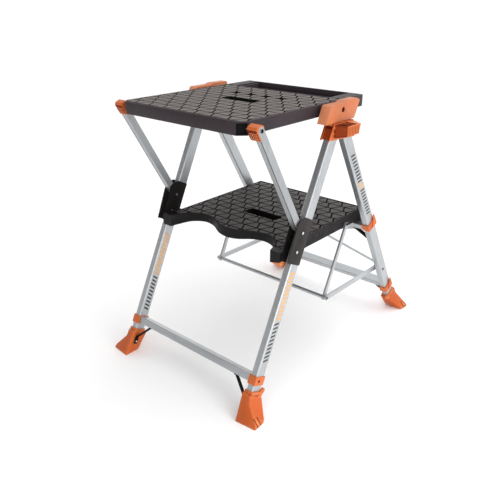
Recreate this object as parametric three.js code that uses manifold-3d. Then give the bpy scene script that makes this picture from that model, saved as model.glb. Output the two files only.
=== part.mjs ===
// Folding work platform bench: a hinged work table over a lower standing platform, carried by two
// pairs of aluminium legs that close like scissors. Millimetres, +X to the right, +Y to the rear,
// +Z up. The origin is on the floor, in the middle of the four feet.
import * as THREE from 'three';
import { mergeVertices } from 'three/addons/utils/BufferGeometryUtils.js';
import { ConvexGeometry } from 'three/addons/geometries/ConvexGeometry.js';
import Module from 'manifold-3d';

const wasm = await Module();
wasm.setup();

// ---- Driving dimensions ----
const GAP = 0.3; // clearance between pieces that touch
const HOLE_GAP = 0.3; // a hole is this much larger in radius than its pin

const TABLE = { halfWidth: 250, front: -455, rear: 158, top: 923, thick: 38, chamfer: 22 };
const TRAY = { halfWidth: 200, front: 27, rear: 150, depth: 18 };
const TABLE_SLOT = { x: 10, halfLength: 66, front: -205, rear: -168 };
const TABLE_HINGE = { y: -43, z: 906, radius: 5 };
const CLAMP_HOLES = { x: 4, pitch: 64, y: -94, reach: 15, waist: 5.5 };
const TOOL_HOLES = { x: 230, y: [31, 144], radius: 5, depth: 24 };

const PLATFORM = { halfWidth: 248.5, rear: 231.6, top: 504, thick: 41 };
const PLATFORM_SLOT = { x: 12, halfLength: 69, front: -92, rear: -50 };
const PLATFORM_EAR = { inner: 228, outer: 265.4, front: -300, rear: -225 };
const PLATFORM_HINGE = { y: -250, z: 482, radius: 4 };

const LEG = { x: 283, width: 24, depth: 42, wall: 1.6, radius: 4, sole: 4 };
const FRONT_LEAN = Math.atan(0.491);
const REAR_LEAN = Math.atan(0.591);
const LEG_FOOT_Y = 483; // where the leg centre lines meet the floor, front and rear
const FRONT_LEG_TOP = 842;
const LEG_PIVOT_Z = 822;
const LEG_PIVOT_END = 14; // rear leg length above its pivot

const COLLAR = { inner: 268, outer: 298, depth: 48, height: 30 };
const LOW_COLLAR_Z = 114;
const MID_COLLAR_Z = 450;
const BAR = { depth: 34, height: 24, wall: 1.8 };
const FRONT_BAR_Z = 115;
const REAR_BAR_Z = 130;
const MID_BAR_Z = 441;

const GUSSET = { strap: 2.8, reach: 54, drop: 54, tab: 28, width: 15 };
const BOOT = { inner: 267.5, outer: 349, toe: 517 };

const PLATE = { thick: 2.5, innerX: 268.2, outerX: 295.3 };
const PLATE_OUTLINE = [
  [-300, 479],
  [-240, 450],
  [-175, 584],
  [-214, 604],
  [-238, 602],
  [-252, 593],
  [-262, 572],
];
const RIVET = { radius: 2.6, headRadius: 4.6, head: 1.8 };
const UPPER_RIVET = { y: -229, z: 557 };
const LOWER_RIVET = { y: -256, z: 502 };

const LEG_PIN = { radius: 5, headRadius: 8, head: 2.5 };
const HEAD = { inner: 266.5, outer: 299.5, wall: 4, web: 3, foot: 822, roof: 853, top: 868 };
const HEAD_LUG = { inner: 270.5, outer: 294, front: -92, rear: 6, top: 912 };
const CADDY = { outer: 345, innerFloor: 826, outerFloor: 836, top: 866, wall: 3.2 };
const CADDY_CELLS = { count: 3, length: 18, middleY: -54 };
const CHEEK = { inner: 266, outer: 299, wall: 4, top: 930, frontTop: 925, bevel: 5 };
const TABLE_PIN = { inner: 228, buttonRadius: 8, button: 2.4, recess: 0.8 };

const BRACE = { inner: 271.5, outer: 293, depth: 24, length: 379 };
const BRACE_TOP = { y: -427.5, z: 903 };
const BRACE_LEAN = THREE.MathUtils.degToRad(30);
const BRACE_PIN = { radius: 4, inner: 226, head: 2 };
const BRACE_CAP = { inner: 259, outer: 292.5 };
const CATCH = { inner: 232, front: -295, rear: -243, rise: 9, low: 8 };

const STAY_REAR = { y: 350, z: 219 };
const STAY_FRONT = { y: -15, z: 228 };
const STAY_TOP = { y: 105, z: 475 };
const STAY_ARM = { inner: 259.5, outer: 267.5, width: 17 };
const STAY_BAR_RADIUS = 7;
const STAY_PIN = { radius: 4, headRadius: 7, head: 2 };
const STAY_BOSS_RADIUS = 8;
const LINK = { inner: 250.5, outer: 257.5, width: 15, eyeRadius: 11 };
const DIAGONAL = { x: 262, low: 226, high: 415, width: 14, thick: 3, across: 11, lap: 3.5 };

// ---- Materials ----
const finish = (color, roughness, metalness) =>
  new THREE.MeshStandardMaterial({ color, roughness, metalness });
const aluminium = finish(0xc4cad0, 0.38, 0.9);
const resinTable = finish(0x4a4446, 0.7, 0);
const resinPlatform = finish(0x2f2d30, 0.75, 0);
const orangePlastic = finish(0xd26a35, 0.5, 0);
const blackSteel = finish(0x141414, 0.5, 0.4);
const zincSteel = finish(0xb9bcc0, 0.35, 0.9);

// ---- Shapes and solids ----
function toSolid(geometry) {
  const bare = geometry.clone();
  bare.deleteAttribute('normal');
  bare.deleteAttribute('uv');
  const merged = mergeVertices(bare, 1e-4);
  const vertProperties = new Float32Array(merged.attributes.position.array);
  const triVerts = new Uint32Array(merged.index.array);
  return new wasm.Manifold(new wasm.Mesh({ numProp: 3, vertProperties, triVerts }));
}

function toGeometry(solid) {
  const mesh = solid.getMesh();
  const geometry = new THREE.BufferGeometry();
  geometry.setAttribute('position', new THREE.BufferAttribute(mesh.vertProperties, 3));
  geometry.setIndex(new THREE.BufferAttribute(mesh.triVerts, 1));
  return geometry;
}

const cut = (body, ...tools) =>
  toGeometry(tools.reduce((solid, tool) => solid.subtract(toSolid(tool)), toSolid(body)));

const join = (...pieces) =>
  toGeometry(pieces.map(toSolid).reduce((solid, piece) => solid.add(piece)));

function box([x0, x1], [y0, y1], [z0, z1]) {
  const geometry = new THREE.BoxGeometry(x1 - x0, y1 - y0, z1 - z0);
  return geometry.translate((x0 + x1) / 2, (y0 + y1) / 2, (z0 + z1) / 2);
}

// An X span on one side of the bench, from its inner to its outer distance.
const sideSpan = (side, inner, outer) => (side > 0 ? [inner, outer] : [-outer, -inner]);

const outline = (points) => new THREE.Shape(points.map(([a, b]) => new THREE.Vector2(a, b)));

// A flat outline in the Y-Z plane, extruded along X.
function profile(shape, [x0, x1]) {
  const geometry = new THREE.ExtrudeGeometry(shape, {
    depth: x1 - x0,
    bevelEnabled: false,
    curveSegments: 4,
  });
  const sideways = new THREE.Matrix4().makeBasis(
    new THREE.Vector3(0, 1, 0),
    new THREE.Vector3(0, 0, 1),
    new THREE.Vector3(1, 0, 0),
  );
  return geometry.applyMatrix4(sideways).translate(x0, 0, 0);
}

function slab(shape, [z0, z1]) {
  const geometry = new THREE.ExtrudeGeometry(shape, {
    depth: z1 - z0,
    bevelEnabled: false,
    curveSegments: 4,
  });
  return geometry.translate(0, 0, z0);
}

// An outline in the X-Z plane of one side, extruded along Y.
function prismAlongY(points, side, [y0, y1]) {
  const mirrored = points.map(([x, z]) => [side * x, z]);
  const geometry = new THREE.ExtrudeGeometry(outline(mirrored), {
    depth: y1 - y0,
    bevelEnabled: false,
  });
  return geometry.rotateX(Math.PI / 2).translate(0, y1, 0);
}

function rod(radius, [x0, x1], y, z, segments = 16) {
  const geometry = new THREE.CylinderGeometry(radius, radius, x1 - x0, segments);
  return geometry.rotateZ(Math.PI / 2).translate((x0 + x1) / 2, y, z);
}

function roundedRectangle(width, depth, radius) {
  const shape = new THREE.Shape();
  const a = width / 2 - radius;
  const b = depth / 2 - radius;
  shape.absarc(a, b, radius, 0, Math.PI / 2);
  shape.absarc(-a, b, radius, Math.PI / 2, Math.PI);
  shape.absarc(-a, -b, radius, Math.PI, 1.5 * Math.PI);
  shape.absarc(a, -b, radius, 1.5 * Math.PI, 2 * Math.PI);
  return shape;
}

// A hollow tube of rounded rectangular section, standing on z0 and centred on x, y.
function tube(width, depth, wall, radius, x, y, [z0, z1]) {
  const shape = roundedRectangle(width, depth, radius);
  shape.holes.push(roundedRectangle(width - 2 * wall, depth - 2 * wall, radius - wall));
  const geometry = new THREE.ExtrudeGeometry(shape, {
    depth: z1 - z0,
    bevelEnabled: false,
    curveSegments: 3,
  });
  return geometry.translate(x, y, z0);
}

// A flat bar with round ends between two points of the Y-Z plane, extruded along X.
function roundBar(from, to, width, span) {
  const angle = Math.atan2(to.z - from.z, to.y - from.y);
  const shape = new THREE.Shape();
  shape.absarc(to.y, to.z, width / 2, angle - Math.PI / 2, angle + Math.PI / 2);
  shape.absarc(from.y, from.z, width / 2, angle + Math.PI / 2, angle + 1.5 * Math.PI);
  return profile(shape, span);
}

// A pin along X with a head at each end.
function headedPin(radius, headRadius, head, [x0, x1], y, z) {
  const shank = rod(radius, [x0, x1], y, z, 12);
  return join(shank, rod(headRadius, [x0 - head, x0], y, z), rod(headRadius, [x1, x1 + head], y, z));
}

function part(name, geometry, material) {
  const mesh = new THREE.Mesh(geometry, material);
  mesh.name = name;
  return mesh;
}

const sides = [[1, 'right'], [-1, 'left']];

// ---- Leg frames: +Z runs up the leg from the floor, +Y across its depth ----
function legFrame(footY, lean) {
  const group = new THREE.Group();
  group.position.y = footY;
  group.rotation.x = lean;
  const local = (y, z) => ({
    across: (y - footY) * Math.cos(lean) + z * Math.sin(lean),
    along: -(y - footY) * Math.sin(lean) + z * Math.cos(lean),
  });
  const heightToLength = (z) => z / Math.cos(lean);
  const start = heightToLength(LEG.sole + (LEG.depth / 2) * Math.sin(Math.abs(lean)));
  return { group, local, heightToLength, start };
}

const frontFrame = legFrame(-LEG_FOOT_Y, -FRONT_LEAN);
const rearFrame = legFrame(LEG_FOOT_Y, REAR_LEAN);
const legPivot = {
  y: LEG_FOOT_Y - LEG_PIVOT_Z * Math.tan(REAR_LEAN),
  z: LEG_PIVOT_Z,
};

// A leg tube with cross holes for pins, each hole given in bench coordinates.
function leg(frame, side, length, holes) {
  const { width, depth, wall, radius, x } = LEG;
  const body = tube(width, depth, wall, radius, side * x, 0, [frame.start, length]);
  const cutters = holes.map(({ y, z, radius: pin, inner, outer }) => {
    const { across, along } = frame.local(y, z);
    return rod(pin + HOLE_GAP, sideSpan(side, inner, outer), across, along, 12);
  });
  return cut(body, ...cutters);
}

const throughLeg = { inner: LEG.x - LEG.width, outer: LEG.x + LEG.width };

// ---- Collars clamp the crossbars to the legs ----
function collar(frame, side, height, flagged) {
  const along = frame.heightToLength(height);
  const span = sideSpan(side, COLLAR.inner, COLLAR.outer);
  const ends = [along - COLLAR.height / 2, along + COLLAR.height / 2];
  const halfDepth = COLLAR.depth / 2;
  const block = box(span, [-halfDepth, halfDepth], ends);
  const bore = tubeSpace(side, GAP, [ends[0] - 1, ends[1] + 1]);
  const ring = cut(block, bore);
  if (!flagged) return ring;
  const flagReach = 22;
  const flag = outline([
    [-4, ends[0] + 4],
    [halfDepth, ends[0] + 4],
    [halfDepth, ends[1]],
    [halfDepth - 2, ends[1] + flagReach],
    [halfDepth - 7, ends[1] + flagReach - 4],
  ]);
  const flagThick = 3.5;
  const cheek = profile(flag, sideSpan(side, COLLAR.outer - 0.5, COLLAR.outer + flagThick));
  return join(ring, cheek);
}

// The space that a leg tube takes, grown by a gap, as a plain prism.
function tubeSpace(side, gap, span) {
  const halfWidth = LEG.width / 2 + gap;
  const halfDepth = LEG.depth / 2 + gap;
  return box(sideSpan(side, LEG.x - halfWidth, LEG.x + halfWidth), [-halfDepth, halfDepth], span);
}

// ---- Crossbars: rectangular tubes between the collars ----
function crossbar(frame, height) {
  const half = COLLAR.inner - GAP;
  const along = frame.heightToLength(height);
  const shape = roundedRectangle(BAR.height, BAR.depth, 2.5);
  shape.holes.push(roundedRectangle(BAR.height - 2 * BAR.wall, BAR.depth - 2 * BAR.wall, 0.6));
  const geometry = new THREE.ExtrudeGeometry(shape, {
    depth: 2 * half,
    bevelEnabled: false,
    curveSegments: 2,
  });
  return geometry.rotateY(Math.PI / 2).translate(-half, 0, along);
}

// ---- Gusset straps: a bent flat strap from under a crossbar to the leg below it ----
function gusset(frame, side, barHeight, across, endX) {
  const barBottom = frame.heightToLength(barHeight) - BAR.height / 2 - GAP;
  const { strap, reach, drop, tab } = GUSSET;
  const leg = endX - GAP;
  const x = (distance) => side * distance;
  const points = [
    [x(leg - reach - tab), barBottom],
    [x(leg - reach), barBottom],
    [x(leg), barBottom - drop],
    [x(leg), barBottom - drop - tab],
    [x(leg - strap), barBottom - drop - tab],
    [x(leg - strap), barBottom - drop - 0.6],
    [x(leg - reach - 1.4), barBottom - strap],
    [x(leg - reach - tab), barBottom - strap],
  ];
  const geometry = new THREE.ExtrudeGeometry(outline(points), {
    depth: GUSSET.width,
    bevelEnabled: false,
  });
  return geometry.rotateX(Math.PI / 2).translate(0, across + GUSSET.width / 2, 0);
}

// ---- Boots: flared plastic feet over the leg ends ----
function boot(frame, footSign, side, lean) {
  const { inner, outer, toe } = BOOT;
  const cuff = LEG.x + LEG.width / 2 + 4;
  const corner = (x, setback, z) => new THREE.Vector3(side * x, footSign * (toe - setback), z);
  const body = new ConvexGeometry([
    corner(inner + 4, 0, 0),
    corner(outer, 9, 0),
    corner(outer - 3, 54, 0),
    corner(inner + 4, 57, 0),
    corner(outer, 12, 8),
    corner(outer, 52, 8),
    corner(inner, 41, 88),
    corner(cuff, 43, 84),
    corner(cuff, 98, 54),
    corner(inner, 104, 60),
  ]);
  const ear = new ConvexGeometry([
    corner(cuff - 6, 80, 48),
    corner(cuff + 2, 80, 48),
    corner(cuff - 6, 113, 66),
    corner(cuff + 2, 113, 66),
    corner(cuff - 6, 104, 78),
    corner(cuff + 2, 104, 78),
    corner(cuff - 6, 60, 72),
    corner(cuff + 2, 60, 72),
  ]);
  const socket = tubeSpace(side, GAP, [frame.start - GAP, 160]);
  socket.rotateX(lean).translate(0, footSign * LEG_FOOT_Y, 0);
  return cut(join(body, ear), socket);
}

// ---- Bracket plates hug each front leg and guide the brace in front of it ----
function bracketPlate(side, inner, holes) {
  const shape = outline(PLATE_OUTLINE);
  for (const { y, z, radius } of holes) {
    const hole = new THREE.Path();
    hole.absarc(y, z, radius + HOLE_GAP, 0, 2 * Math.PI, true);
    shape.holes.push(hole);
  }
  return profile(shape, sideSpan(side, inner, inner + PLATE.thick));
}

function bracketRivet(side, { y, z }) {
  const span = sideSpan(side, PLATE.innerX - GAP, PLATE.outerX + PLATE.thick + GAP);
  return headedPin(RIVET.radius, RIVET.headRadius, RIVET.head, span, y, z);
}

// ---- Head: holds the front leg, lets the rear leg swing and carries a tool caddy ----
function headPlate(side, inner) {
  const shape = outline([
    [-115, 821],
    [34, 812],
    [20, HEAD.top],
    [-91, HEAD.top],
  ]);
  return profile(shape, sideSpan(side, inner, inner + HEAD.wall));
}

function head(side) {
  const fullSpan = sideSpan(side, HEAD.inner, HEAD.outer);
  const roof = profile(
    outline([
      [-94, HEAD.roof],
      [23, HEAD.roof],
      [20, HEAD.top],
      [-88, HEAD.top],
    ]),
    fullSpan,
  );
  const halfLeg = LEG.depth / 2 / Math.cos(FRONT_LEAN);
  const legFace = (z) => -LEG_FOOT_Y + z * Math.tan(FRONT_LEAN) - halfLeg;
  const webTop = HEAD.roof + 2;
  const web = profile(
    outline([
      [legFace(HEAD.foot) - HEAD.web - 1, HEAD.foot],
      [legFace(HEAD.foot) - 1, HEAD.foot],
      [legFace(webTop) - 1, webTop],
      [legFace(webTop) - HEAD.web - 1, webTop],
    ]),
    fullSpan,
  );
  const lug = box(
    sideSpan(side, HEAD_LUG.inner, HEAD_LUG.outer),
    [HEAD_LUG.front, HEAD_LUG.rear],
    [HEAD.top - 6, HEAD_LUG.top],
  );
  const body = join(
    headPlate(side, HEAD.inner),
    headPlate(side, HEAD.outer - HEAD.wall),
    roof,
    web,
    lug,
    caddy(side),
  );
  const lugSpan = sideSpan(side, HEAD_LUG.inner - 2, HEAD_LUG.outer + 2);
  const pinSpan = sideSpan(side, HEAD.inner - 2, HEAD.outer + 2);
  return cut(
    body,
    rod(TABLE_HINGE.radius + HOLE_GAP, lugSpan, TABLE_HINGE.y, TABLE_HINGE.z, 12),
    rod(LEG_PIN.radius + HOLE_GAP, pinSpan, legPivot.y, legPivot.z, 12),
  );
}

// The pin ends flush in the outer plate, under the caddy.
function legPin(side) {
  const { y, z } = legPivot;
  const { radius, headRadius, head: headThick } = LEG_PIN;
  const seat = HEAD.inner - GAP;
  const shank = rod(radius, sideSpan(side, seat - 1, HEAD.outer - GAP), y, z, 12);
  return join(shank, rod(headRadius, sideSpan(side, seat - headThick, seat), y, z));
}

// An open tray with cells, standing out from the head's outer plate.
function caddy(side) {
  const { outer, innerFloor, outerFloor, top, wall } = CADDY;
  const innerX = HEAD.outer - 1;
  const corner = (x, y, z) => new THREE.Vector3(side * x, y, z);
  const block = new ConvexGeometry([
    corner(innerX, -85, innerFloor),
    corner(innerX, 12, innerFloor),
    corner(innerX, 16, top),
    corner(innerX, -85, top),
    corner(outer, -88, outerFloor),
    corner(outer, -20, outerFloor),
    corner(outer, -11, top),
    corner(outer, -88, top),
  ]);
  const { count, length, middleY } = CADDY_CELLS;
  const cells = Array.from({ length: count }, (_, i) => {
    const middle = middleY + (i - (count - 1) / 2) * (length + wall);
    const span = sideSpan(side, HEAD.outer + wall, outer - wall);
    const ends = [middle - length / 2, middle + length / 2];
    return box(span, ends, [outerFloor + wall, top + 2]);
  });
  return cut(block, ...cells);
}

// ---- Cheek: the cover over the table hinge, beside the table's edge ----
function cheek(side) {
  const { inner, outer, wall, top, frontTop, bevel } = CHEEK;
  const shape = outline([
    [-134, 872],
    [24, 872],
    [50, 923],
    [45, top],
    [-26, top],
    [-38, frontTop],
    [-108, frontTop],
    [-112, frontTop - 3],
  ]);
  const block = profile(shape, sideSpan(side, inner, outer));
  const pocket = box(
    sideSpan(side, inner + wall, outer - wall),
    [-104, 16],
    [860, HEAD_LUG.top + 1],
  );
  const slope = prismAlongY(
    [
      [outer - bevel, top],
      [outer, top - bevel],
      [outer + 1, top - bevel],
      [outer + 1, top + 1],
      [outer - bevel, top + 1],
    ],
    side,
    [-140, 60],
  );
  const pinHole = rod(
    TABLE_HINGE.radius + HOLE_GAP,
    sideSpan(side, inner - 1, outer + 1),
    TABLE_HINGE.y,
    TABLE_HINGE.z,
    12,
  );
  const headHole = rod(
    TABLE_PIN.buttonRadius + HOLE_GAP,
    sideSpan(side, outer - TABLE_PIN.recess - TABLE_PIN.button - GAP, outer + 1),
    TABLE_HINGE.y,
    TABLE_HINGE.z,
  );
  return cut(block, pocket, slope, pinHole, headHole);
}

function tablePin(side) {
  const { y, z, radius } = TABLE_HINGE;
  const { inner, buttonRadius, button: thick, recess } = TABLE_PIN;
  const end = CHEEK.outer - recess;
  const shank = rod(radius, sideSpan(side, inner, end - 1), y, z, 12);
  const button = rod(buttonRadius, sideSpan(side, end - thick, end), y, z);
  return join(shank, button);
}

// ---- Table: a hollow moulded top, with a tray, a grip slot and clamp holes ----
function gripSlot({ x, halfLength, front, rear }, span) {
  const shape = roundedRectangle(2 * halfLength, rear - front, 12);
  return slab(shape, span).translate(x, (front + rear) / 2, 0);
}

function clampHole(x, span) {
  const points = Array.from({ length: 8 }, (_, i) => {
    const reach = i % 2 ? CLAMP_HOLES.reach : CLAMP_HOLES.waist;
    const angle = (i * Math.PI) / 4;
    return [x + reach * Math.cos(angle), CLAMP_HOLES.y + reach * Math.sin(angle)];
  });
  return slab(outline(points), span);
}

function tableTop() {
  const { halfWidth, front, rear, top, thick, chamfer } = TABLE;
  const bottom = top - thick;
  const plan = outline([
    [-halfWidth + chamfer, front],
    [halfWidth - chamfer, front],
    [halfWidth, front + chamfer],
    [halfWidth, rear - 4],
    [halfWidth - 4, rear],
    [-halfWidth + 4, rear],
    [-halfWidth, rear - 4],
    [-halfWidth, front + chamfer],
  ]);
  const through = [bottom - 1, top + 1];
  const tray = box([-TRAY.halfWidth, TRAY.halfWidth], [TRAY.front, TRAY.rear], [top - TRAY.depth, top + 1]);
  const clampHoles = [-1.5, -0.5, 0.5, 1.5].map((n) =>
    clampHole(CLAMP_HOLES.x + n * CLAMP_HOLES.pitch, through),
  );
  const toolHoles = sides.flatMap(([side]) =>
    TOOL_HOLES.y.map((y) => {
      const { radius, depth } = TOOL_HOLES;
      const hole = new THREE.CylinderGeometry(radius, radius, 2 * depth, 12);
      return hole.rotateX(Math.PI / 2).translate(side * TOOL_HOLES.x, y, top);
    }),
  );
  const pinSpan = (side, inner) => sideSpan(side, inner - 2, halfWidth + 2);
  const pinHoles = sides.flatMap(([side]) => [
    rod(TABLE_HINGE.radius + HOLE_GAP, pinSpan(side, TABLE_PIN.inner), TABLE_HINGE.y, TABLE_HINGE.z, 12),
    rod(BRACE_PIN.radius + HOLE_GAP, pinSpan(side, BRACE_PIN.inner), BRACE_TOP.y, BRACE_TOP.z, 12),
  ]);
  return cut(
    slab(plan, [bottom, top]),
    tray,
    gripSlot(TABLE_SLOT, through),
    ...clampHoles,
    ...toolHoles,
    ...pinHoles,
  );
}

// ---- Lower platform: a moulded standing platform with a wavy front edge ----
function platformPlan() {
  const { halfWidth, rear } = PLATFORM;
  const { inner, outer, front, rear: earRear } = PLATFORM_EAR;
  const edge = [
    [-210, -252],
    [-185, -224],
    [-142, -209],
    [-92, -219],
    [-44, -244],
    [0, -251],
    [44, -244],
    [92, -219],
    [142, -209],
    [185, -224],
    [210, -252],
  ];
  const shape = new THREE.Shape();
  shape.moveTo(-halfWidth, rear);
  shape.lineTo(-halfWidth, earRear);
  shape.lineTo(-outer, earRear);
  shape.lineTo(-outer, front);
  shape.lineTo(-inner, front);
  shape.splineThru(edge.map(([x, y]) => new THREE.Vector2(x, y)));
  shape.lineTo(inner, front);
  shape.lineTo(outer, front);
  shape.lineTo(outer, earRear);
  shape.lineTo(halfWidth, earRear);
  shape.lineTo(halfWidth, rear);
  return shape;
}

function platform() {
  const { top, thick, halfWidth } = PLATFORM;
  const bottom = top - thick;
  const bosses = sides.map(([side]) =>
    rod(STAY_BOSS_RADIUS, sideSpan(side, halfWidth - 2, LINK.inner - GAP), STAY_TOP.y, STAY_TOP.z),
  );
  const catchRelief = prismAlongY(
    [
      [CATCH.inner, bottom - 1],
      [PLATFORM_EAR.outer + 1, bottom - 1],
      [PLATFORM_EAR.outer + 1, bottom + CATCH.rise + GAP],
      [CATCH.inner, bottom + GAP],
    ],
    1,
    [PLATFORM_EAR.front - 1, CATCH.rear + GAP],
  );
  const hingeHoles = sides.map(([side]) =>
    rod(
      PLATFORM_HINGE.radius + HOLE_GAP,
      sideSpan(side, PLATFORM_EAR.inner + 8, PLATFORM_EAR.outer + 1),
      PLATFORM_HINGE.y,
      PLATFORM_HINGE.z,
      12,
    ),
  );
  const body = join(slab(platformPlan(), [bottom, top]), ...bosses);
  return cut(body, gripSlot(PLATFORM_SLOT, [bottom - 1, top + 1]), catchRelief, ...hingeHoles);
}

// The catch is a wedge under the right-hand ear.
function platformCatch() {
  const bottom = PLATFORM.top - PLATFORM.thick;
  const inner = CATCH.inner + GAP;
  const { outer } = PLATFORM_EAR;
  const corners = [
    [inner, bottom - 3],
    [outer, bottom - CATCH.low],
    [outer, bottom + CATCH.rise],
    [inner, bottom],
  ];
  return prismAlongY(corners, 1, [CATCH.front, CATCH.rear]);
}

function platformBolt(side) {
  const { y, z, radius } = PLATFORM_HINGE;
  const nut = PLATE.innerX + PLATE.thick + 2;
  const shank = rod(radius, sideSpan(side, PLATFORM_EAR.inner + 10, nut + 1), y, z, 12);
  return join(shank, rod(radius + 2, sideSpan(side, nut, nut + 3), y, z));
}

// ---- Braces: struts from the table's front corners down to the brackets ----
function braceBar(side) {
  const half = BRACE.depth / 2;
  const shape = new THREE.Shape();
  shape.absarc(0, 0, half, 0, Math.PI);
  shape.absarc(0, -BRACE.length, half, Math.PI, 2 * Math.PI);
  const { inner, outer } = BRACE;
  const hole = rod(BRACE_PIN.radius + HOLE_GAP, sideSpan(side, inner - 1, outer + 1), 0, 0);
  return cut(profile(shape, sideSpan(side, inner, outer)), hole);
}

function braceCap(side) {
  const half = BRACE.depth / 2;
  const hood = outline([
    [-half - 4, 12],
    [-half - 5, -8],
    [-half - 4, -22],
    [-half + 5, -31],
    [half, -31],
    [half + 2, -26],
    [half + 2, 6],
    [half - 5, half + 3],
    [-half + 3, half + 5],
  ]);
  const block = profile(hood, sideSpan(side, BRACE_CAP.inner, BRACE_CAP.outer));
  const clearance = 0.4;
  const space = new THREE.Shape();
  space.absarc(0, 0, half + clearance, 0, Math.PI);
  space.lineTo(-half - clearance, -60);
  space.lineTo(half + 20, -60);
  space.lineTo(half + 20, 0);
  const cavity = profile(space, sideSpan(side, BRACE.inner - clearance, BRACE.outer + 5));
  const hole = rod(BRACE_PIN.radius + HOLE_GAP, sideSpan(side, 250, 280), 0, 0, 12);
  return cut(block, cavity, hole);
}

function bracePin(side) {
  const { y, z } = BRACE_TOP;
  const { radius, inner, head } = BRACE_PIN;
  const shank = rod(radius, sideSpan(side, inner, BRACE.outer + GAP + 1), y, z, 12);
  return join(shank, rod(radius + 2, sideSpan(side, BRACE.outer + GAP, BRACE.outer + GAP + head), y, z));
}

// ---- Folding stay under the platform: a U-shaped frame and two links ----
function stayFrame() {
  const arms = sides.map(([side]) =>
    cut(
      roundBar(STAY_REAR, STAY_FRONT, STAY_ARM.width, sideSpan(side, STAY_ARM.inner, STAY_ARM.outer)),
      rod(STAY_PIN.radius + HOLE_GAP, sideSpan(side, 250, 270), STAY_REAR.y, STAY_REAR.z, 12),
    ),
  );
  const reach = STAY_ARM.outer - 1;
  return join(rod(STAY_BAR_RADIUS, [-reach, reach], STAY_FRONT.y, STAY_FRONT.z), ...arms);
}

function stayLink(side) {
  const span = sideSpan(side, LINK.inner, LINK.outer);
  const wide = sideSpan(side, LINK.inner - 2, LINK.outer + 2);
  const blank = join(
    roundBar(STAY_FRONT, STAY_TOP, LINK.width, span),
    rod(LINK.eyeRadius, span, STAY_FRONT.y, STAY_FRONT.z),
  );
  return cut(
    blank,
    rod(STAY_BAR_RADIUS + HOLE_GAP, wide, STAY_FRONT.y, STAY_FRONT.z),
    rod(STAY_PIN.radius, wide, STAY_TOP.y, STAY_TOP.z, 12),
  );
}

function stayPivotPin(side) {
  const { y, z } = STAY_REAR;
  const innerHead = STAY_ARM.inner - GAP;
  const legFace = LEG.x + LEG.width / 2 + GAP;
  const { radius, headRadius, head: headThick } = STAY_PIN;
  return headedPin(radius, headRadius, headThick, sideSpan(side, innerHead, legFace), y, z);
}

// ---- Rear diagonals: flat bars crossing between the rear legs, one lapped behind the other ----
function diagonal(side) {
  const { x, low, high, width, thick, across, lap } = DIAGONAL;
  const from = { x: side * x, z: rearFrame.heightToLength(low) };
  const to = { x: -side * x, z: rearFrame.heightToLength(high) };
  const angle = Math.atan2(to.z - from.z, to.x - from.x);
  const shape = new THREE.Shape();
  shape.absarc(to.x, to.z, width / 2, angle - Math.PI / 2, angle + Math.PI / 2);
  shape.absarc(from.x, from.z, width / 2, angle + Math.PI / 2, angle + 1.5 * Math.PI);
  const geometry = new THREE.ExtrudeGeometry(shape, {
    depth: thick,
    bevelEnabled: false,
    curveSegments: 4,
  });
  const rear = across + thick + (side > 0 ? 0 : lap);
  return geometry.rotateX(Math.PI / 2).translate(0, rear, 0);
}

// ---- Assembly ----
function buildFrontFrame() {
  const group = new THREE.Group();
  const { group: legs, heightToLength } = frontFrame;
  const length = heightToLength(FRONT_LEG_TOP);
  const holes = [
    { ...UPPER_RIVET, radius: RIVET.radius, ...throughLeg },
    { ...LOWER_RIVET, radius: RIVET.radius, ...throughLeg },
    { ...PLATFORM_HINGE, radius: PLATFORM_HINGE.radius + 2, inner: BOOT.inner, outer: LEG.x },
  ];
  const rivetHoles = [UPPER_RIVET, LOWER_RIVET].map((rivet) => ({ ...rivet, radius: RIVET.radius }));
  for (const [side, label] of sides) {
    legs.add(part(`front_leg_${label}`, leg(frontFrame, side, length, holes), aluminium));
    legs.add(part(`front_collar_${label}`, collar(frontFrame, side, LOW_COLLAR_Z, false), orangePlastic));
    const strap = gusset(frontFrame, side, FRONT_BAR_Z, -8, BOOT.inner);
    legs.add(part(`front_gusset_${label}`, strap, blackSteel));
    group.add(part(`front_boot_${label}`, boot(frontFrame, -1, side, -FRONT_LEAN), orangePlastic));
    const outerPlate = bracketPlate(side, PLATE.outerX, rivetHoles);
    const innerPlate = bracketPlate(side, PLATE.innerX, [...rivetHoles, PLATFORM_HINGE]);
    group.add(part(`bracket_plate_outer_${label}`, outerPlate, blackSteel));
    group.add(part(`bracket_plate_inner_${label}`, innerPlate, blackSteel));
    group.add(part(`bracket_rivet_upper_${label}`, bracketRivet(side, UPPER_RIVET), zincSteel));
    group.add(part(`bracket_rivet_lower_${label}`, bracketRivet(side, LOWER_RIVET), zincSteel));
    group.add(part(`platform_hinge_bolt_${label}`, platformBolt(side), zincSteel));
    group.add(part(`head_${label}`, head(side), orangePlastic));
    group.add(part(`hinge_cheek_${label}`, cheek(side), orangePlastic));
    group.add(part(`table_hinge_pin_${label}`, tablePin(side), zincSteel));
    group.add(part(`leg_hinge_pin_${label}`, legPin(side), zincSteel));
  }
  legs.add(part('front_crossbar', crossbar(frontFrame, FRONT_BAR_Z), aluminium));
  group.add(legs);
  return group;
}

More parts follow.
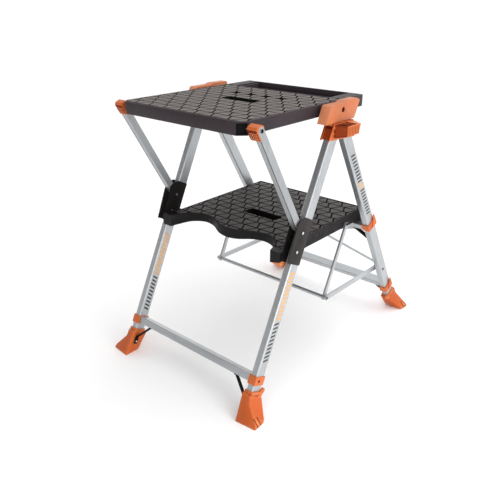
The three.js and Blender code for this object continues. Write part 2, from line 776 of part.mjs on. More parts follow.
function buildRearFrame() {
  const group = new THREE.Group();
  const { group: legs, heightToLength } = rearFrame;
  const length = heightToLength(LEG_PIVOT_Z) + LEG_PIVOT_END;
  const holes = [
    { ...legPivot, radius: LEG_PIN.radius, ...throughLeg },
    { ...STAY_REAR, radius: STAY_PIN.radius, ...throughLeg },
  ];
  for (const [side, label] of sides) {
    legs.add(part(`rear_leg_${label}`, leg(rearFrame, side, length, holes), aluminium));
    legs.add(part(`rear_collar_low_${label}`, collar(rearFrame, side, LOW_COLLAR_Z, true), orangePlastic));
    legs.add(part(`rear_collar_mid_${label}`, collar(rearFrame, side, MID_COLLAR_Z, true), orangePlastic));
    const lowStrap = gusset(rearFrame, side, REAR_BAR_Z, 4, BOOT.inner);
    const midStrap = gusset(rearFrame, side, MID_BAR_Z, -6, LEG.x - LEG.width / 2);
    legs.add(part(`rear_gusset_low_${label}`, lowStrap, blackSteel));
    legs.add(part(`rear_gusset_mid_${label}`, midStrap, blackSteel));
    legs.add(part(`rear_diagonal_${label}`, diagonal(side), aluminium));
    group.add(part(`rear_boot_${label}`, boot(rearFrame, 1, side, REAR_LEAN), orangePlastic));
    group.add(part(`stay_pivot_pin_${label}`, stayPivotPin(side), zincSteel));
  }
  legs.add(part('rear_crossbar_low', crossbar(rearFrame, REAR_BAR_Z), aluminium));
  legs.add(part('rear_crossbar_mid', crossbar(rearFrame, MID_BAR_Z), aluminium));
  group.add(legs);
  return group;
}

function buildTable() {
  const group = new THREE.Group();
  group.add(part('work_table', tableTop(), resinTable));
  for (const [side, label] of sides) {
    group.add(part(`brace_pin_${label}`, bracePin(side), zincSteel));
    const brace = new THREE.Group();
    brace.position.set(0, BRACE_TOP.y, BRACE_TOP.z);
    brace.rotation.x = BRACE_LEAN;
    brace.add(part(`table_brace_${label}`, braceBar(side), aluminium));
    brace.add(part(`brace_cap_${label}`, braceCap(side), orangePlastic));
    group.add(brace);
  }
  return group;
}

function buildStay() {
  const group = new THREE.Group();
  group.add(part('stay_frame', stayFrame(), aluminium));
  for (const [side, label] of sides) {
    group.add(part(`stay_link_${label}`, stayLink(side), aluminium));
  }
  return group;
}

const bench = new THREE.Group();
bench.add(buildFrontFrame(), buildRearFrame(), buildTable(), buildStay());
bench.add(part('lower_platform', platform(), resinPlatform));
bench.add(part('platform_catch', platformCatch(), orangePlastic));

export default bench;
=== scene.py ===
"""Looks for the folding work platform bench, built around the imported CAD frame. Metres, +Z up."""
import math

import bmesh
import bpy
from mathutils import Matrix, Vector


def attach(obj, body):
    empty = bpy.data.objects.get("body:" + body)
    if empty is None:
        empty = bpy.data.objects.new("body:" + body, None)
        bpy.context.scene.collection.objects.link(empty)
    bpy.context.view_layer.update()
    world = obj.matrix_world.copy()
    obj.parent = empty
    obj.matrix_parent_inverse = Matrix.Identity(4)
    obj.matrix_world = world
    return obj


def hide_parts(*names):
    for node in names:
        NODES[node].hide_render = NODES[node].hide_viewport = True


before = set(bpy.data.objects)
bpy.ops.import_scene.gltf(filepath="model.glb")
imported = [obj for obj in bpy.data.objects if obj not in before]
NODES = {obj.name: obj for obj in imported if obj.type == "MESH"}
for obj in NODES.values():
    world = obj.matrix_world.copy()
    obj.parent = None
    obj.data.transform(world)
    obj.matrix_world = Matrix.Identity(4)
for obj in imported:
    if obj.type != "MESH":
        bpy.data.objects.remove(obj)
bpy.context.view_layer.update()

SIDES = ((1, "right"), (-1, "left"))
MM = 0.001
FRONT_LEAN = math.atan(0.491)
REAR_LEAN = math.atan(0.591)
BRACE_LEAN = math.radians(30)
FOOT_Y = 483
LEG_IN, LEG_OUT = 271.0, 295.0


# ---- Camera ----
CAMERA_PLACE = (1.2172, -1.5549, 1.2255)
CAMERA_LENS = 40.79
CAMERA_YAW = math.radians(40.4693)
CAMERA_PITCH = math.radians(-24.322)
CAMERA_ROLL = math.radians(0.2064)


def make_camera():
    data = bpy.data.cameras.new("camera")
    data.lens = CAMERA_LENS
    data.sensor_width = 36.0
    data.clip_start = 0.05
    data.clip_end = 60.0
    camera = bpy.data.objects.new("camera", data)
    bpy.context.scene.collection.objects.link(camera)
    forward = Vector((
        -math.sin(CAMERA_YAW) * math.cos(CAMERA_PITCH),
        math.cos(CAMERA_YAW) * math.cos(CAMERA_PITCH),
        math.sin(CAMERA_PITCH),
    ))
    right = forward.cross(Vector((0, 0, 1))).normalized()
    up = right.cross(forward)
    c, s = math.cos(CAMERA_ROLL), math.sin(CAMERA_ROLL)
    rolled_right = right * c + up * s
    rolled_up = up * c - right * s
    basis = Matrix((rolled_right, rolled_up, -forward)).transposed()
    camera.matrix_world = Matrix.Translation(CAMERA_PLACE) @ basis.to_4x4()
    bpy.context.scene.camera = camera


make_camera()


# ---- Materials ----
# The colour sockets of Blender's Mix node, by index: its two inputs and its result.
MIX_A, MIX_B = 6, 7
MIX_RESULT = 2


class Nodes:
    """A thin wrapper that adds nodes to one material and links them."""

    def __init__(self, name):
        self.material = bpy.data.materials.new(name)
        self.material.use_nodes = True
        self.tree = self.material.node_tree
        self.tree.nodes.clear()
        self.out = self.add("ShaderNodeOutputMaterial")
        self.shader = self.add("ShaderNodeBsdfPrincipled")
        self.link(self.shader, "BSDF", self.out, "Surface")
        self.coordinates = self.add("ShaderNodeTexCoord")

    def add(self, kind, **settings):
        node = self.tree.nodes.new(kind)
        for key, value in settings.items():
            setattr(node, key, value)
        return node

    def link(self, a, output, b, socket):
        self.tree.links.new(a.outputs[output], b.inputs[socket])

    def scaled(self, scale, turn=(0, 0, 0)):
        mapping = self.add("ShaderNodeMapping")
        mapping.inputs["Scale"].default_value = scale
        mapping.inputs["Rotation"].default_value = turn
        self.link(self.coordinates, "Object", mapping, "Vector")
        return mapping

    def noise(self, scale, stretch=(1, 1, 1), turn=(0, 0, 0), detail=3.0, rough=0.6):
        node = self.add("ShaderNodeTexNoise")
        node.inputs["Scale"].default_value = scale
        node.inputs["Detail"].default_value = detail
        node.inputs["Roughness"].default_value = rough
        self.link(self.scaled(stretch, turn), "Vector", node, "Vector")
        return node

    def spread(self, source, low, high, start=0.3, end=0.7):
        node = self.add("ShaderNodeMapRange")
        node.inputs["From Min"].default_value = start
        node.inputs["From Max"].default_value = end
        node.inputs["To Min"].default_value = low
        node.inputs["To Max"].default_value = high
        output = "Fac" if "Fac" in source.outputs else "Result"
        self.link(source, output, node, "Value")
        return node

    def blend(self, factor, a, b):
        """Mixes two colours, each a tuple or another blend."""
        node = self.add("ShaderNodeMix", data_type="RGBA")
        self.link(factor, "Result", node, "Factor")
        for index, colour in ((MIX_A, a), (MIX_B, b)):
            if isinstance(colour, tuple):
                node.inputs[index].default_value = (*colour, 1)
            else:
                self.tree.links.new(colour.outputs[MIX_RESULT], node.inputs[index])
        return node

    def colour(self, blended):
        self.tree.links.new(blended.outputs[MIX_RESULT], self.shader.inputs["Base Color"])

    def bump(self, source, strength, distance, before=None):
        node = self.add("ShaderNodeBump")
        node.inputs["Strength"].default_value = strength
        node.inputs["Distance"].default_value = distance
        output = "Fac" if "Fac" in source.outputs else "Result"
        self.link(source, output, node, "Height")
        if before is not None:
            self.link(before, "Normal", node, "Normal")
        return node


def convex_edges(n):
    """0 in the flats and 1 on convex edges."""
    geometry = n.add("ShaderNodeNewGeometry")
    node = n.add("ShaderNodeMapRange")
    node.inputs["From Min"].default_value = 0.52
    node.inputs["From Max"].default_value = 0.62
    n.link(geometry, "Pointiness", node, "Value")
    return node


def plastic(name, dark, light, edge, rough, grain=900.0, grain_strength=0.25, shine=0.32):
    """Moulded plastic: slow colour drift, fine spark texture, paler convex edges."""
    n = Nodes(name)
    drift = n.spread(n.noise(9.0, detail=4.0), 0, 1)
    body = n.blend(drift, dark, light)
    n.colour(n.blend(convex_edges(n), body, edge))
    n.link(n.spread(n.noise(55.0), rough - 0.07, rough + 0.08), "Result", n.shader, "Roughness")
    fine = n.bump(n.noise(grain, detail=2.0), grain_strength, 0.00025)
    slow = n.bump(n.noise(26.0), 0.10, 0.0008, fine)
    n.link(slow, "Normal", n.shader, "Normal")
    n.shader.inputs["Specular IOR Level"].default_value = shine
    return n.material


LEVEL = (0, 0, 0)


def metal(name, dark, light, rough, stretch, turn=LEVEL, metallic=1.0, grain=240.0, strength=0.12):
    """Metal with a grain that runs along one direction, and faint handling marks."""
    n = Nodes(name)
    streak = n.noise(grain, stretch, turn, detail=4.0, rough=0.7)
    smear = n.noise(7.0, detail=3.0)
    tone = n.blend(n.spread(streak, 0, 1), dark, light)
    duller = tuple(c * 0.86 for c in dark)
    n.colour(n.blend(n.spread(smear, 0.0, 0.35), tone, duller))
    n.link(n.spread(streak, rough - 0.06, rough + 0.1), "Result", n.shader, "Roughness")
    n.link(n.bump(streak, strength, 0.0001), "Normal", n.shader, "Normal")
    n.shader.inputs["Metallic"].default_value = metallic
    return n.material


ALONG_X = (0.03, 1, 1)
ALONG_Y = (1, 0.04, 1)
ALONG_Z = (1, 1, 0.03)
EVEN = (1, 1, 1)
ALU_DARK = (0.425, 0.44, 0.452)
ALU_LIGHT = (0.56, 0.582, 0.60)


def aluminium(name, stretch, turn=LEVEL, painted_shade=1.0):
    dark = tuple(c * painted_shade for c in ALU_DARK)
    light = tuple(c * painted_shade for c in ALU_LIGHT)
    return metal(name, dark, light, 0.34, stretch, turn, metallic=0.82)


ALU_FRONT = aluminium("aluminium_front_legs", ALONG_Z, (FRONT_LEAN, 0, 0))
ALU_REAR = aluminium("aluminium_rear_legs", ALONG_Z, (-REAR_LEAN, 0, 0))
# The braces take the same aluminium darkened to 0.82: painted shade on the braces.
ALU_BRACE = aluminium("aluminium_braces", ALONG_Z, (-BRACE_LEAN, 0, 0), 0.82)
ALU_BAR = aluminium("aluminium_crossbars", ALONG_X)
ALU_STAY = aluminium("aluminium_stay", ALONG_Y)
ZINC = metal("zinc_steel", (0.62, 0.63, 0.65), (0.86, 0.87, 0.88), 0.28, EVEN, grain=600)

# Each plastic: its darkest, lightest and convex-edge colours, its roughness and, where given, its grain and
# shine.
BLACK = plastic(
    "black_steel", (0.002, 0.0018, 0.0018), (0.005, 0.0045, 0.0042), (0.016, 0.014, 0.013),
    0.6, grain=1400, grain_strength=0.18, shine=0.06)
# The outer bracket plates take a lighter, shinier copy of the black steel: a painted highlight.
BRACKET_LIT = plastic(
    "bracket_plate", (0.005, 0.0042, 0.004), (0.011, 0.0095, 0.009), (0.035, 0.031, 0.029),
    0.5, grain=1400, grain_strength=0.18, shine=0.13)
TABLE_RESIN = plastic(
    "table_resin", (0.017, 0.010, 0.014), (0.026, 0.017, 0.022), (0.06, 0.046, 0.052),
    0.55, shine=0.28)
TREAD_RESIN = plastic(
    "table_tread_resin", (0.040, 0.031, 0.030), (0.064, 0.050, 0.049), (0.14, 0.12, 0.11),
    0.62, shine=0.24)
# Near black for the tread's tile walls and the sunk floor between tiles: painted shade in the grooves.
GROOVE_SHADE = plastic(
    "tread_groove_shade", (0.003, 0.002, 0.002), (0.006, 0.005, 0.005), (0.012, 0.01, 0.01),
    0.8, shine=0.04)
BLOCK_RESIN = plastic(
    "table_block_resin", (0.062, 0.060, 0.058), (0.09, 0.088, 0.085), (0.15, 0.145, 0.14), 0.55)
PLATFORM_RESIN = plastic(
    "platform_resin", (0.003, 0.0025, 0.0028), (0.007, 0.006, 0.0065), (0.022, 0.019, 0.020),
    0.55, shine=0.14)
STEP_RESIN = plastic(
    "platform_tread_resin", (0.026, 0.023, 0.023), (0.044, 0.040, 0.040), (0.085, 0.078, 0.076),
    0.62, shine=0.24)
ORANGE = plastic(
    "orange_plastic", (0.45, 0.078, 0.009), (0.54, 0.102, 0.015), (0.68, 0.22, 0.075),
    0.46, grain=1100, grain_strength=0.2)
PALE_ORANGE = plastic(
    "pale_orange", (0.46, 0.128, 0.045), (0.54, 0.158, 0.060), (0.72, 0.30, 0.16),
    0.46, grain=1100, grain_strength=0.2)
# Dark orange for shaded faces of the orange parts: painted shade in recesses, grooves and on front faces.
ORANGE_SHADE = plastic(
    "orange_painted_shade", (0.10, 0.008, 0.0015), (0.14, 0.013, 0.003), (0.28, 0.045, 0.01),
    0.6, shine=0.1)
# Dark red for the zinc hinge pins: painted shade of the bore they sit in.
BORE_SHADE = plastic(
    "red_bore_shade", (0.012, 0.0012, 0.0006), (0.020, 0.002, 0.001), (0.035, 0.005, 0.002),
    0.7, shine=0.04)
# Near black for holes, slots, pockets, bores and tube mouths: painted shadow.
PAINTED_SHADOW = plastic(
    "shadow_plastic", (0.001, 0.001, 0.001), (0.003, 0.002, 0.002), (0.01, 0.01, 0.01),
    0.8, shine=0.03)
INK_DARK = plastic(
    "marking_dark", (0.020, 0.020, 0.026), (0.030, 0.030, 0.036), (0.05, 0.05, 0.05),
    0.6, shine=0.15)
INK_AMBER = plastic(
    "marking_amber", (0.58, 0.29, 0.04), (0.66, 0.35, 0.06), (0.7, 0.35, 0.12), 0.55)


# ---- Mesh building ----
class Solid:
    """Collects closed solids in one bmesh, in millimetres."""

    def __init__(self):
        self.bm = bmesh.new()

    def loft(self, rings):
        """Joins rings of equal length, each a list of points, and caps both ends."""
        made = [[self.bm.verts.new(Vector(p) * MM) for p in ring] for ring in rings]
        count = len(made[0])
        faces = []
        for a, b in zip(made, made[1:]):
            for i in range(count):
                j = (i + 1) % count
                faces.append(self.bm.faces.new((a[i], a[j], b[j], b[i])))
        faces.append(self.bm.faces.new(list(reversed(made[0]))))
        faces.append(self.bm.faces.new(made[-1]))
        return faces

    def prism(self, outline, low, high, axis="z", place=None):
        """An outline extruded along an axis. The outline's two numbers are the other axes, in order."""
        def point(a, b, h):
            raw = {"z": (a, b, h), "x": (h, a, b), "y": (a, h, b)}[axis]
            return place(raw) if place else raw
        return self.loft([[point(a, b, h) for a, b in outline] for h in (low, high)])

    def box(self, xs, ys, zs, place=None):
        x0, x1 = sorted(xs)
        y0, y1 = sorted(ys)
        return self.prism([(x0, y0), (x1, y0), (x1, y1), (x0, y1)], *sorted(zs), place=place)

    def rod(self, centre, radius, low, high, axis="x", segments=24, place=None):
        a, b = centre
        ring = [
            (a + radius * math.cos(t), b + radius * math.sin(t))
            for t in (2 * math.pi * i / segments for i in range(segments))
        ]
        return self.prism(ring, low, high, axis, place)

    def ring(self, centre, inner, outer, low, high, axis="x", segments=24, place=None):
        """A flat washer with a round hole."""
        a, b = centre
        def loop(radius, h):
            points = []
            for i in range(segments):
                t = 2 * math.pi * i / segments
                u, v = a + radius * math.cos(t), b + radius * math.sin(t)
                raw = {"z": (u, v, h), "x": (h, u, v), "y": (u, h, v)}[axis]
                points.append(place(raw) if place else raw)
            return points
        loops = [loop(inner, low), loop(outer, low), loop(outer, high), loop(inner, high)]
        made = [[self.bm.verts.new(Vector(p) * MM) for p in points] for points in loops]
        made.append(made[0])
        for p, q in zip(made, made[1:]):
            for i in range(segments):
                j = (i + 1) % segments
                self.bm.faces.new((p[i], p[j], q[j], q[i]))

    def make(self, name, material=None):
        bmesh.ops.recalc_face_normals(self.bm, faces=self.bm.faces)
        mesh = bpy.data.meshes.new(name)
        self.bm.to_mesh(mesh)
        self.bm.free()
        piece = bpy.data.objects.new(name, mesh)
        bpy.context.scene.collection.objects.link(piece)
        if material is not None:
            mesh.materials.append(material)
        return piece


def applied(piece):
    """Bakes the piece's modifiers into its mesh."""
    bpy.context.view_layer.update()
    evaluated = piece.evaluated_get(bpy.context.evaluated_depsgraph_get())
    mesh = bpy.data.meshes.new_from_object(evaluated)
    piece.modifiers.clear()
    old = piece.data
    piece.data = mesh
    bpy.data.meshes.remove(old)
    return piece


def boolean(piece, tool, operation="DIFFERENCE"):
    """Cuts a piece with a tool. The faces that the tool leaves take the tool's material."""
    modifier = piece.modifiers.new("boolean", "BOOLEAN")
    modifier.object = tool
    modifier.operation = operation
    modifier.solver = "EXACT"
    modifier.material_mode = "TRANSFER"
    applied(piece)
    bpy.data.objects.remove(tool)
    return piece


def bevelled(piece, width, segments=2, angle=32):
    """Rounds the edges sharper than an angle, with clean shading."""
    for polygon in piece.data.polygons:
        polygon.use_smooth = True
    modifier = piece.modifiers.new("bevel", "BEVEL")
    modifier.width = width * MM
    modifier.segments = segments
    modifier.limit_method = "ANGLE"
    modifier.angle_limit = math.radians(angle)
    modifier.harden_normals = True
    modifier.use_clamp_overlap = True
    return applied(piece)


def smooth(piece, angle=35):
    for polygon in piece.data.polygons:
        polygon.use_smooth = True
    piece.data.set_sharp_from_angle(angle=math.radians(angle))
    return piece


def from_node(node):
    """A welded copy of a CAD node, to add detail to."""
    bm = bmesh.new()
    bm.from_mesh(NODES[node].data)
    bmesh.ops.remove_doubles(bm, verts=bm.verts, dist=0.00002)
    bmesh.ops.dissolve_limit(bm, angle_limit=math.radians(1), verts=bm.verts, edges=bm.edges)
    mesh = bpy.data.meshes.new(node + "_detailed")
    bm.to_mesh(mesh)
    bm.free()
    piece = bpy.data.objects.new(node + "_detailed", mesh)
    bpy.context.scene.collection.objects.link(piece)
    return piece


def painted_copy(node, *materials):
    """A welded copy of a CAD node with materials of its own."""
    piece = from_node(node)
    piece.data.materials.clear()
    for material in materials:
        piece.data.materials.append(material)
    return piece


def settle(piece, body, slot, *nodes):
    """Puts a finished piece on its body and hides the CAD nodes it stands for."""
    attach(piece, body)
    if nodes:
        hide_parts(*nodes)


def joined(name, *pieces):
    """One mesh from several, each keeping its own material."""
    bm = bmesh.new()
    materials = []
    for piece in pieces:
        mesh = piece.data
        start = len(bm.faces)
        bm.from_mesh(mesh)
        bm.faces.ensure_lookup_table()
        lookup = []
        for material in mesh.materials:
            if material not in materials:
                materials.append(material)
            lookup.append(materials.index(material))
        for face in bm.faces[start:]:
            face.material_index = lookup[face.material_index] if lookup else 0
    mesh = bpy.data.meshes.new(name)
    bm.to_mesh(mesh)
    bm.free()
    for material in materials:
        mesh.materials.append(material)
    for piece in pieces:
        bpy.data.objects.remove(piece)
    whole = bpy.data.objects.new(name, mesh)
    bpy.context.scene.collection.objects.link(whole)
    return whole


def outward(side, near, far):
    """A stretch of x on one side of the bench, low end first."""
    return sorted((side * near, side * far))


def rounded_box(x0, x1, y0, y1, radius, steps=5):
    """A rectangle's outline with round corners."""
    points = []
    corners = ((x1 - radius, y1 - radius, 0), (x0 + radius, y1 - radius, 90),
               (x0 + radius, y0 + radius, 180), (x1 - radius, y0 + radius, 270))
    for cx, cy, start in corners:
        for i in range(steps + 1):
            t = math.radians(start + 90 * i / steps)
            points.append((cx + radius * math.cos(t), cy + radius * math.sin(t)))
    return points


# ---- Tread: rows of trapezoid tiles between grooves, mirrored from row to row ----
def inset(points, amount):
    """Moves each edge of a convex, anticlockwise outline inwards."""
    count = len(points)
    moved = []
    for i in range(count):
        a, b, c = (Vector(points[(i + k) % count]) for k in (-1, 0, 1))
        d1, d2 = (b - a).normalized(), (c - b).normalized()
        n1, n2 = Vector((-d1.y, d1.x)), Vector((-d2.y, d2.x))
        mid = n1 + n2
        moved.append(b + mid * (amount / max(0.35, mid.dot(n1))))
    return [(p.x, p.y) for p in moved]


def tread_tiles(solid, tread, span_x, span_y, floor, top):
    """Covers a field with tiles. Their walls take the second material, the painted shade of the grooves."""
    period, row, short = tread["period"], tread["row"], tread["short"]
    groove, slope = tread["groove"], tread["slope"]
    half = period / 2
    first_row = math.floor((span_y[0] - tread["y"]) / row) - 1
    last_row = math.ceil((span_y[1] - tread["y"]) / row) + 1
    first = math.floor((span_x[0] - tread["x"]) / period) - 1
    last = math.ceil((span_x[1] - tread["x"]) / period) + 1
    for j in range(first_row, last_row):
        y0 = tread["y"] + j * row
        y1 = y0 + row
        for k in range(first, last):
            for upright in (True, False):
                wide = half - short
                low, high = (wide, short) if upright == (j % 2 == 0) else (short, wide)
                centre = tread["x"] + k * period + (0 if upright else half)
                outline = [
                    (centre - low, y0), (centre + low, y0),
                    (centre + high, y1), (centre - high, y1),
                ]
                base = inset(outline, groove / 2)
                crown = inset(outline, groove / 2 + slope)
                faces = solid.loft([
                    [(x, y, floor) for x, y in base],
                    [(x, y, top - slope) for x, y in base],
                    [(x, y, top) for x, y in crown],
                ])
                for wall in faces[:len(base)]:
                    wall.material_index = 1


GROOVE_WIDTH, TILE_SLOPE = 5.4, 0.5
TREAD_DEPTH = 3.6
TABLE_TREAD = {
    "period": 64.0, "row": 39.0, "short": 6.0, "x": 4.0, "y": -94.0,
    "groove": GROOVE_WIDTH, "slope": TILE_SLOPE,
}
STEP_TREAD = {
    "period": 67.5, "row": 41.2, "short": 6.5, "x": 20.0, "y": -147.0,
    "groove": GROOVE_WIDTH, "slope": TILE_SLOPE,
}


# ---- Work table ----
TABLE = {"half": 250.0, "front": -455.0, "rear": 158.0, "top": 923.0, "bottom": 885.0, "chamfer": 22.0}
TRAY = {"half": 200.0, "front": 24.0, "rear": 150.0, "floor": 903.0}
TABLE_SLOT = (-56, 76, -205, -168)
STARS = {"x": 4.0, "y": -94.0, "pitch": 64.0, "count": 4}
STAR_HOLE = (19, 10)
STAR_GUARD = (26, 13)
SLOT_CORNER, SLOT_GUARD_CORNER = 9, 11
TOOL_HOLES = {"x": 230, "rows": (31, 144), "radius": 5, "depth": 24}
DIAGONAL = 0.7071
CLEAR = 8


def star(x, y, reach, waist):
    """A four-pointed star with its tips at 45 degrees."""
    points = []
    for i in range(8):
        r = reach if i % 2 else waist
        points.append((x + r * math.cos(i * math.pi / 4), y + r * math.sin(i * math.pi / 4)))
    return points


def table_plan():
    h, f, r, c = TABLE["half"], TABLE["front"], TABLE["rear"], TABLE["chamfer"]
    return [(-h + c, f), (h - c, f), (h, f + c), (h, r - 4),
            (h - 4, r), (-h + 4, r), (-h, r - 4), (-h, f + c)]


def table_field(edge, rear_gap):
    """The outline of the tread in front of the tray, set in from the rim."""
    half, front, rear = TABLE["half"], TABLE["front"], TRAY["front"] - rear_gap
    return [(-half + 24, front + edge), (half - 24, front + edge), (half - edge, front + 24),
            (half - edge, rear), (-half + edge, rear), (-half + edge, front + 24)]


def table_openings(name, grow, corner, star_size, material=None):
    """A cutter for the grip slot and the star holes."""
    x0, x1, y0, y1 = TABLE_SLOT
    low, high = TABLE["bottom"] - CLEAR, TABLE["top"] + CLEAR
    tool = Solid()
    tool.prism(rounded_box(x0 - grow, x1 + grow, y0 - grow, y1 + grow, corner), low, high)
    for i in range(STARS["count"]):
        x = STARS["x"] + STARS["pitch"] * (i - (STARS["count"] - 1) / 2)
        tool.prism(star(x, STARS["y"], *star_size), low, high)
    return tool.make(name, material)


def tool_hole_places():
    return [(side * TOOL_HOLES["x"], y) for side in (1, -1) for y in TOOL_HOLES["rows"]]


def tool_hole_cutter(name):
    top = TABLE["top"]
    holes = Solid()
    for place in tool_hole_places():
        holes.rod(place, TOOL_HOLES["radius"], top - TOOL_HOLES["depth"], top + 5, axis="z", segments=20)
    return holes.make(name, PAINTED_SHADOW)


def corner_pocket(side, near, far):
    """A plan across the table's chamfered corner, from near to far behind the chamfer."""
    first, last = (228.5, -454.5), (249.5, -433.5)
    ends = ((first, near), (last, near), (last, far), (first, far))
    return [(side * (x - depth * DIAGONAL), y + depth * DIAGONAL) for (x, y), depth in ends]


def underside_ribs(solid, xs, ys, low, high):
    """A lattice of thin ribs under a moulded top."""
    x0, x1, y0, y1 = xs[0], xs[-1], ys[0], ys[-1]
    for x in xs[1:-1]:
        solid.box((x - 1.4, x + 1.4), (y0, y1), (low, high))
    for y in ys[1:-1]:
        solid.box((x0, x1), (y - 1.2, y + 1.2), (low, high + 0.4))


def table_hollow():
    """The space under the table's skin, less an island round the slot and one round the stars."""
    half, front, bottom, top = TABLE["half"], TABLE["front"], TABLE["bottom"], TABLE["top"]
    hollow = Solid()
    plan = [(-half + 5, front + 28), (-half + 28, front + 5), (half - 28, front + 5),
            (half - 5, front + 28), (half - 5, TRAY["front"] - 6), (-half + 5, TRAY["front"] - 6)]
    hollow.prism(plan, bottom - 5, top - 7)
    under_tray = (bottom - 5, TRAY["floor"] - 6)
    hollow.box((-TRAY["half"] - 4, TRAY["half"] + 4), (TRAY["front"] + 2, TRAY["rear"] - 1), under_tray)
    island = Solid()
    island.box((-66, 86), (-215, -158), (bottom - 6, top))
    island.box((-112, 120), (-116, -72), (bottom - 6, top))
    return boolean(hollow.make("cut_a"), island.make("keep_a"))


def tray_lips():
    """Two front lips and a divider, low ribs on the tray's floor, and a lip at each end."""
    top, floor = TABLE["top"], TRAY["floor"] - 1
    front, rear = TRAY["front"], TRAY["rear"]
    lips = Solid()
    lips.box((-196, -42), (front - 1, front + 15), (floor, top - 6))
    lips.box((30, 196), (front - 1, front + 15), (floor, top - 6))
    lips.box((-40, -36), (front - 1, front + 20), (floor, top - 1.5))
    for x in range(-150, 200, 50):
        lips.box((x - 1.2, x + 1.2), (front + 15, rear - 1), (floor, TRAY["floor"] + 1.2))
    for side in (1, -1):
        ends = outward(side, TRAY["half"] - 9, TRAY["half"] + 2)
        lips.box(ends, (front + 12, rear - 8), (floor, top - 4))
    return bevelled(lips.make("tray_lips", TABLE_RESIN), 0.8, 2)


def table_body():
    top, bottom = TABLE["top"], TABLE["bottom"]
    shell = Solid()
    shell.prism(table_plan(), bottom, top)
    body = bevelled(shell.make("table_body", TABLE_RESIN), 2.2, 3)
    boolean(body, table_hollow())

    # Pockets behind the chamfered corners, lined with painted shadow.
    pockets = Solid()
    for side in (1, -1):
        pockets.prism(corner_pocket(side, -4, 7), bottom + 3, top - 4.5)
    boolean(body, pockets.make("cut_p", PAINTED_SHADOW))

    tray = Solid()
    plan = rounded_box(-TRAY["half"], TRAY["half"], TRAY["front"], TRAY["rear"], 5)
    tray.prism(plan, TRAY["floor"], top + 5)
    boolean(body, tray.make("cut_b"))

    sunk = Solid()
    sunk.prism(table_field(4.0, 5), top - TREAD_DEPTH, top + 5)
    # The sunk field's floor takes the painted groove shade.
    boolean(body, sunk.make("cut_c", GROOVE_SHADE))
    # The grip slot, star holes and tool holes are lined with painted shadow.
    boolean(body, table_openings("cut_d", 0, SLOT_CORNER, STAR_HOLE, PAINTED_SHADOW))
    return boolean(body, tool_hole_cutter("cut_e"))


def table_tread():
    top = TABLE["top"]
    span_x, span_y = (-TABLE["half"], TABLE["half"]), (TABLE["front"], TRAY["front"])
    tiles = Solid()
    tread_tiles(tiles, TABLE_TREAD, span_x, span_y, top - TREAD_DEPTH - 0.3, top - 0.1)
    tread = tiles.make("table_tread", TREAD_RESIN)
    tread.data.materials.append(GROOVE_SHADE)
    field = Solid()
    field.prism(table_field(6.0, 9), top - 5, top + 5)
    boolean(tread, field.make("cut_f"), "INTERSECT")
    return boolean(tread, table_openings("cut_g", 3, SLOT_GUARD_CORNER, STAR_GUARD, PAINTED_SHADOW))


def table_ribs():
    xs = [-246, -164, -82, -60, 80, 164, 246]
    ys = [-450, -380, -300, -212, -161, -118, -70, 0, 19]
    ribs = Solid()
    underside_ribs(ribs, xs, ys, TABLE["bottom"] + 3, TABLE["top"] - 6.5)
    rib = ribs.make("table_ribs", TABLE_RESIN)
    return boolean(rib, table_openings("cut_i", 0, SLOT_CORNER, STAR_HOLE))


def make_table():
    top, bottom = TABLE["top"], TABLE["bottom"]
    body = table_body()
    tread = table_tread()
    lip = tray_lips()

    # A thin sheet of painted shadow at the back of each corner pocket.
    liners = Solid()
    for side in (1, -1):
        liners.prism(corner_pocket(side, 6.6, 7.6), bottom + 2, top - 3.5)
    liner = liners.make("pocket_liners", PAINTED_SHADOW)

    blocks = Solid()
    for side in (1, -1):
        plan = rounded_box(*outward(side, 203, 247), TRAY["front"] - 4, TABLE["rear"] - 3, 3)
        blocks.prism(plan, top - 3, top - 0.05)
    block = bevelled(blocks.make("table_end_blocks", BLOCK_RESIN), 0.6, 2)
    boolean(block, tool_hole_cutter("cut_h"))

    rims = Solid()
    for place in tool_hole_places():
        rims.ring(place, TOOL_HOLES["radius"], 7.2, top - 1, top, axis="z", segments=24)
    rim = rims.make("tool_hole_rims", TABLE_RESIN)

    rib = table_ribs()
    for piece in (body, tread, lip, block, rim, rib):
        smooth(piece, 30)
    whole = joined("table_moulding", body, tread, lip, block, rim, rib, liner)
    settle(whole, "table", "table_resin", "work_table")


make_table()


# ---- Lower platform ----
STEP = {"half": 248.5, "rear": 231.6, "top": 504.0, "bottom": 463.0}
EAR = {"inner": 228.0, "outer": 265.4, "front": -300.0, "rear": -225.0}
SKIRT = {"depth": 35, "dip": 7, "drop": 6, "ear_start": 0.85}
STEP_SLOT = (-57, 81, -92, -50)
LINK_TOP = (105, 475)
EDGE = [(-228, -300), (-210, -252), (-185, -224), (-142, -209), (-92, -219), (-44, -244), (0, -251),
        (44, -244), (92, -219), (142, -209), (185, -224), (210, -252), (228, -300)]


def spline(points, steps=5):
    """A Catmull-Rom curve through points."""
    curve = []
    for i in range(len(points) - 1):
        p = [Vector(points[max(0, min(len(points) - 1, i + k))]) for k in (-1, 0, 1, 2)]
        for s in range(steps):
            t = s / steps
            curve.append(tuple(0.5 * (
                2 * p[1] + (p[2] - p[0]) * t + (2 * p[0] - 5 * p[1] + 4 * p[2] - p[3]) * t * t
                + (3 * p[1] - p[0] - 3 * p[2] + p[3]) * t ** 3)))
    curve.append(points[-1])
    return curve


def offset_open(points, amount):
    """Shifts an open line to its left."""
    moved = []
    for i, point in enumerate(points):
        a = Vector(points[max(0, i - 1)])
        b = Vector(points[min(len(points) - 1, i + 1)])
        d = (b - a).normalized()
        moved.append((point[0] - d.y * amount, point[1] + d.x * amount))
    return moved


